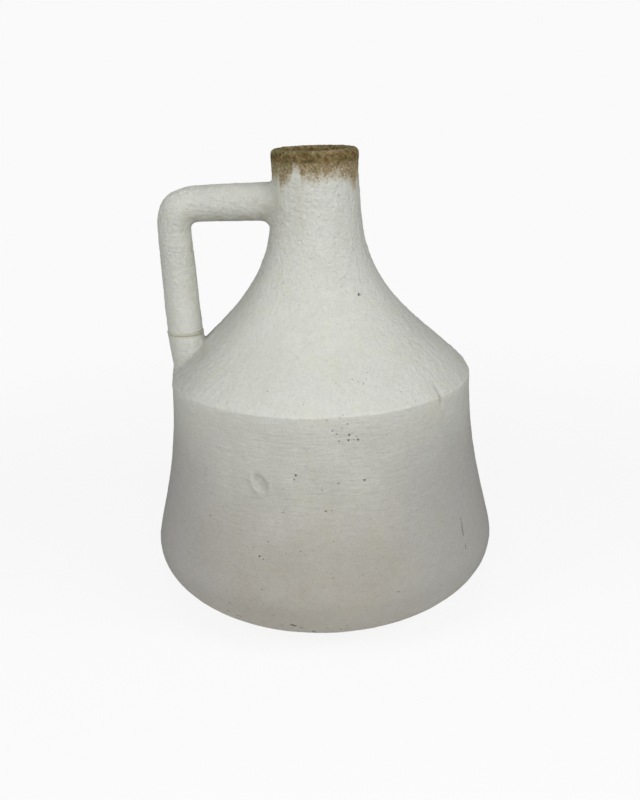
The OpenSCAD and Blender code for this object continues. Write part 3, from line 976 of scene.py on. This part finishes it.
class Graph:
    """A short way to write node trees: most calls add a node and return its output."""

    def __init__(self, owner):
        owner.use_nodes = True
        self.owner = owner
        self.tree = owner.node_tree
        self.tree.nodes.clear()

    def node(self, kind, *inputs, named=None, **settings):
        """Adds a node with its settings, its first inputs in order, and its other inputs by name."""
        made = self.tree.nodes.new("ShaderNode" + kind)
        for key, value in settings.items():
            setattr(made, key, value)
        for socket, value in zip(made.inputs, inputs):
            self.set(socket, value)
        for key, value in (named or {}).items():
            self.set(made.inputs[key], value)
        return made

    def set(self, socket, value):
        if isinstance(value, bpy.types.NodeSocket):
            self.tree.links.new(value, socket)
        elif isinstance(value, tuple) and socket.type == "RGBA":
            socket.default_value = (*value, 1)
        else:
            socket.default_value = value

    def place(self):
        return self.node("TexCoord").outputs["Object"]

    def stretched(self, scale):
        return self.node("Mapping", named={"Vector": self.place(), "Scale": scale}).outputs["Vector"]

    def axis(self, name):
        """The X, Y or Z of the place, in metres."""
        return self.node("SeparateXYZ", self.place()).outputs[name]

    def level(self, name):
        return self.node("Attribute", attribute_name=name).outputs["Fac"]

    def noise(self, size, detail=4.0, rough=0.55, vector=None, twist=0.0):
        """Noise with features of about size millimetres."""
        return self.node("TexNoise", named={
            "Vector": vector or self.place(), "Scale": 1 / (size * MM), "Detail": detail,
            "Roughness": rough, "Distortion": twist}).outputs["Fac"]

    def math(self, operation, a, b=0.0, c=0.0):
        return self.node("Math", a, b, c, operation=operation).outputs[0]

    def span(self, value, low, high, to_low=0.0, to_high=1.0):
        """Smoothly from to_low to to_high while the value goes from low to high."""
        made = self.node("MapRange", value, low, high, to_low, to_high, interpolation_type="SMOOTHSTEP")
        return made.outputs["Result"]

    def rise(self, low, high, to_low=0.0, to_high=1.0):
        """The same between two heights in millimetres."""
        return self.span(self.axis("Z"), low * MM, high * MM, to_low, to_high)

    def patches(self, size, low, high, detail=4.0, rough=0.55, twist=0.0):
        """0 to 1 in soft patches: noise of a size in millimetres, between two of its levels."""
        return self.span(self.noise(size, detail, rough, twist=twist), low, high)

    def mix(self, factor, a, b, blend="MIX"):
        inputs = {"Factor": factor, "A": a, "B": b}
        return self.node("Mix", named=inputs, data_type="RGBA", blend_type=blend).outputs["Result"]

    def coat(self, under, mask, amount, colour, blend="MIX"):
        """A colour over what is under it, where the mask says and by at most the amount."""
        return self.mix(self.math("MULTIPLY", mask, amount), under, colour, blend)

    def shader(self, kind, grey, *more):
        return self.node(kind, (grey, grey, grey), *more).outputs[0]

    def choose(self, factor, first, second):
        """The first shader where the factor is 0 and the second where it is 1."""
        return self.node("MixShader", factor, first, second).outputs[0]

    def finish(self, kind, shader):
        self.node(kind, shader)
        return self.owner


def linear(r, g, b):
    """A colour given in sRGB bytes, as the linear values that a socket takes."""
    return tuple(c / 255 / 12.92 if c <= 10.3 else ((c / 255 + 0.055) / 1.055) ** 2.4 for c in (r, g, b))


def wash_colour(g):
    """Chalky lime wash: white with a green-grey cast above the edge, thinner and pinker below it, with
    painted shade on the flanks, painted light on the foot and a painted highlight along the edge.
    """
    upper = g.mix(g.patches(62, 0.35, 0.68, 3), linear(214, 215, 207), linear(218, 219, 212))
    upper = g.mix(g.rise(360, 270), upper, (0.955, 0.955, 0.955), "MULTIPLY")
    middle = g.mix(g.patches(40, 0.35, 0.68, 3), linear(193, 193, 186), linear(198, 198, 191))
    lower = g.mix(g.patches(48, 0.38, 0.66, 3), linear(169, 165, 156), linear(173, 170, 162))
    fringe = g.math("MULTIPLY", g.rise(EDGE_Z - 22, EDGE_Z - 2), 0.40)
    wash = g.mix(g.math("MAXIMUM", fringe, g.rise(EDGE_Z - 2.5, EDGE_Z)), middle, upper)
    ragged = g.math("MULTIPLY_ADD", g.noise(40, 3), 0.04, g.axis("Z"))
    wash = g.mix(g.span(ragged, 0.264, 0.088), wash, lower)
    # Painted shade: the lower wall darker towards its left and right flanks, seen from the front.
    side = g.span(g.math("ABSOLUTE", g.math("ADD", g.axis("X"), 0.02)), 0.06, 0.14)
    wash = g.coat(wash, g.math("MULTIPLY", side, g.rise(240, 160)), 0.8, linear(172, 171, 167))
    # Painted light: paler towards the foot, which faces down.
    wash = g.coat(wash, g.rise(60, 12), 0.8, linear(204, 199, 190))
    wash = g.coat(wash, g.patches(26, 0.52, 0.70, twist=0.6), 0.38, (1.0, 0.985, 0.88), "MULTIPLY")
    wash = g.coat(wash, g.patches(5.5, 0.66, 0.36, 5, 0.65), 0.14, (0.66, 0.66, 0.65), "MULTIPLY")
    wash = g.coat(wash, g.patches(1.8, 0.46, 0.32, 3, 0.7), 0.30, (0.52, 0.52, 0.50), "MULTIPLY")
    # Pale line on the sharp edge: wear with a painted highlight on its crest.
    wash = g.coat(wash, g.level("sheen_and_wear"), 0.30, linear(228, 228, 221))
    # Painted shade on the shoulder's flanks, round the stub's foot, at the arm's root and on the handle.
    wash = g.mix(g.level("grey"), wash, (0.84, 0.84, 0.84), "MULTIPLY")
    return g.coat(wash, g.level("grime"), 0.42, linear(168, 163, 136))


def stain_colour(g):
    """Bare weathered clay: olive brown with rust, moss, soot and pale crust, chalky at its lower edge."""
    clay = g.mix(g.patches(4.5, 0.38, 0.62, 5, 0.7), linear(98, 80, 46), linear(158, 142, 104))
    clay = g.coat(clay, g.patches(7, 0.50, 0.64, 4, 0.6, 0.8), 0.50, linear(128, 90, 56))
    moss = g.math("MULTIPLY_ADD", g.span(g.axis("X"), -0.016, -0.034), 0.5, 0.32)
    clay = g.coat(clay, g.patches(8, 0.40, 0.58, 4, 0.6), moss, linear(112, 114, 72))
    clay = g.coat(clay, g.patches(3.6, 0.53, 0.64, 4, 0.7), 0.8, linear(62, 46, 22))
    near_edge = g.rise(473, 458)
    clay = g.coat(clay, near_edge, 0.34, linear(184, 168, 136))
    crust = g.math("MULTIPLY_ADD", near_edge, 0.60, 0.20)
    clay = g.coat(clay, g.patches(2.6, 0.52, 0.63, 3, 0.65), crust, linear(200, 184, 162))
    belt = g.math("MULTIPLY", g.rise(466, 471), g.rise(478.5, 475))
    clay = g.mix(belt, clay, (0.80, 0.74, 0.62), "MULTIPLY")
    chalk = g.math("MULTIPLY", g.patches(3.2, 0.58, 0.66, 2, 0.5), g.span(g.level("stain"), 0.9, 0.5))
    return g.coat(clay, chalk, 0.75, linear(214, 203, 204))


def bare_colour(g):
    clay = g.mix(g.patches(30, 0.35, 0.65), linear(168, 148, 122), linear(184, 166, 142))
    return g.coat(clay, g.patches(1.8, 0.62, 0.72, 2, 0.6), 0.5, linear(120, 104, 86))


def surface_bump(g):
    """Brushed plaster: lumps of a few millimetres and grit, with level strokes below the edge. In mm."""
    below = g.rise(250, 244)
    lumpy = g.math("MULTIPLY_ADD", below, -0.75, g.math("MULTIPLY_ADD", g.rise(300, 380), 2.4, 1.5))
    high = g.math("MULTIPLY", g.noise(3.6, 3, 0.6), lumpy)
    high = g.math("MULTIPLY_ADD", g.noise(0.9, 2, 0.6), 0.35, high)
    strokes = g.noise(1.0, 2, 0.5, vector=g.stretched((1 / 15, 1 / 15, 1 / 3.4)))
    return g.math("MULTIPLY_ADD", strokes, g.math("MULTIPLY", below, g.rise(30, 190, 0.25, 1.4)), high)


def fired_clay(g, colour, roughness, bumpiness):
    """A matt skin of the given colour, with the plaster's fine bumps."""
    bump = g.node("Bump", named={"Strength": bumpiness, "Distance": MM, "Height": surface_bump(g)})
    surface = g.node("BsdfPrincipled", named={
        "Base Color": colour, "Roughness": roughness, "Specular IOR Level": 0.18,
        "Normal": bump.outputs["Normal"]})
    return g.finish("OutputMaterial", surface.outputs[0])


def stain_cover(g):
    """The stain's level broken up into specks and flecks across its ragged edge."""
    level = g.level("stain")
    flecks = g.math("SUBTRACT", g.noise(4.0, 5, 0.7), 0.5)
    cover = g.span(g.math("MULTIPLY_ADD", flecks, 1.7, level), 0.14, 0.84)
    return g.math("MULTIPLY", cover, g.span(level, 0.0, 0.12))


def whitewash():
    """Wash outside, stained clay where the wash has gone, bare clay inside, dirt and painted shade in the
    marks.
    """
    g = Graph(bpy.data.materials.new("whitewashed_clay"))
    colour = g.coat(wash_colour(g), g.span(g.level("stain"), 0.0, 0.4), 0.55, linear(186, 176, 150))
    colour = g.mix(stain_cover(g), colour, stain_colour(g))
    colour = g.mix(g.level("outside"), bare_colour(g), colour)
    # Dark in the pits, scars, crack and nick: dirt with painted shade.
    colour = g.coat(colour, g.level("dirt_and_shade"), 0.92, linear(56, 52, 42))
    return fired_clay(g, colour, g.math("MULTIPLY_ADD", g.noise(12, 3), 0.12, 0.84), 0.8)


def bare_clay():
    g = Graph(bpy.data.materials.new("bare_clay"))
    return fired_clay(g, bare_colour(g), g.math("MULTIPLY_ADD", g.noise(9, 3), 0.12, 0.86), 0.6)


def seam_slip():
    """Greenish slip with painted shade, darkest in the crease above the bead and in the groove below it."""
    g = Graph(bpy.data.materials.new("dried_slip"))
    low = SEAM[2] + 1.4
    slip = g.mix(g.patches(9, 0.38, 0.62), linear(180, 180, 163), linear(193, 193, 178))
    crease_shade = g.math("MAXIMUM", g.rise(low + 3.1, low + 4.0), g.rise(low + 1.9, low + 1.1))
    slip = g.coat(slip, crease_shade, 0.5, linear(156, 156, 140))
    slip = g.mix(g.rise(low + 0.8, low - 0.6), slip, linear(200, 200, 186))
    slip = g.coat(slip, g.patches(2.2, 0.56, 0.68, 3, 0.6), 0.3, linear(160, 158, 138))
    return fired_clay(g, slip, g.math("MULTIPLY_ADD", g.noise(9, 3), 0.1, 0.85), 0.4)


# -------- stage, light and camera


PAPER = 0.955           # the white of floor and backdrop as the camera sees them
FLOOR_GLOW = 0.905
FLOOR_R = 2.0
LAMP_REACH = 1.9


def make_stage():
    """A pale round floor that fades out into the backdrop. The camera sees it lit by itself."""
    points = spin(FLOOR_R, 0.0, turns(128))
    mesh = bpy.data.meshes.new("floor")
    mesh.from_pydata(points.tolist(), [], [range(len(points))])
    floor = bpy.data.objects.new("pale_floor", mesh)
    bpy.context.scene.collection.objects.link(floor)
    g = Graph(bpy.data.materials.new("pale_floor"))
    reach = g.node("VectorMath", g.place(), operation="LENGTH").outputs["Value"]
    paper = g.node("AddShader", g.shader("BsdfDiffuse", 0.12), g.shader("Emission", PAPER, FLOOR_GLOW))
    camera_ray = g.node("LightPath").outputs["Is Camera Ray"]
    seen = g.choose(camera_ray, g.shader("BsdfDiffuse", 0.75), paper.outputs[0])
    clear = g.node("BsdfTransparent").outputs[0]
    mesh.materials.append(g.finish("OutputMaterial", g.choose(g.span(reach, 0.36, 1.1), seen, clear)))


def make_backdrop():
    """White to the camera, a softer grey as light."""
    g = Graph(bpy.data.worlds.new("studio"))
    camera_ray = g.node("LightPath").outputs["Is Camera Ray"]
    light, seen = g.shader("Background", 0.22), g.shader("Background", PAPER)
    bpy.context.scene.world = g.finish("OutputWorld", g.choose(camera_ray, light, seen))


def soft_light(name, turn, rise, power):
    """A metre-wide round lamp, turned from the front and raised round the jug's middle, in degrees."""
    turn, rise = math.radians(turn), math.radians(rise)
    towards = Vector((math.sin(turn) * math.cos(rise), -math.cos(turn) * math.cos(rise), math.sin(rise)))
    data = bpy.data.lights.new(name, "AREA")
    data.shape = "DISK"
    data.size = 1.0
    data.energy = power
    lamp = bpy.data.objects.new(name, data)
    bpy.context.scene.collection.objects.link(lamp)
    lamp.location = Vector((0, 0, 0.26)) + LAMP_REACH * towards
    lamp.rotation_euler = (-towards).to_track_quat("-Z", "Y").to_euler()


def make_camera():
    """Standing about a metre off, looking down a little on the jug."""
    place = Matrix.Translation((0, -0.98456, 0.54589))
    pitch, yaw, roll = (math.radians(degrees) for degrees in (18.78, -0.087, -1.64))
    ahead = Vector((math.sin(yaw) * math.cos(pitch), math.cos(yaw) * math.cos(pitch), -math.sin(pitch)))
    level = Vector((math.cos(yaw), -math.sin(yaw), 0))
    rise = level.cross(ahead)
    right = level * math.cos(roll) + rise * math.sin(roll)
    up = rise * math.cos(roll) - level * math.sin(roll)
    data = bpy.data.cameras.new("camera")
    data.sensor_width = 36
    data.lens = 42.55
    camera = bpy.data.objects.new("camera", data)
    bpy.context.scene.collection.objects.link(camera)
    camera.matrix_world = place @ Matrix((right, up, -ahead)).transposed().to_4x4()
    bpy.context.scene.camera = camera


def main():
    make_camera()
    make_stage()
    make_backdrop()
    soft_light("front", 0, 12, 12)
    soft_light("left", -54, 30, 10)
    soft_light("right", 54, 30, 12)
    soft_light("top", 0, 75, 5)
    bpy.context.scene.view_settings.view_transform = "Standard"
    wash = whitewash()
    looks = {"whitewash_body": wash, "whitewash_shoulder": wash, "stained_clay": wash,
             "bare_clay": bare_clay(), "seam_slip": seam_slip()}
    build_body(looks)
    build_handle_tube(looks)
    build_collar(looks)
    build_stub(looks)
    build_fillets(looks)


main()
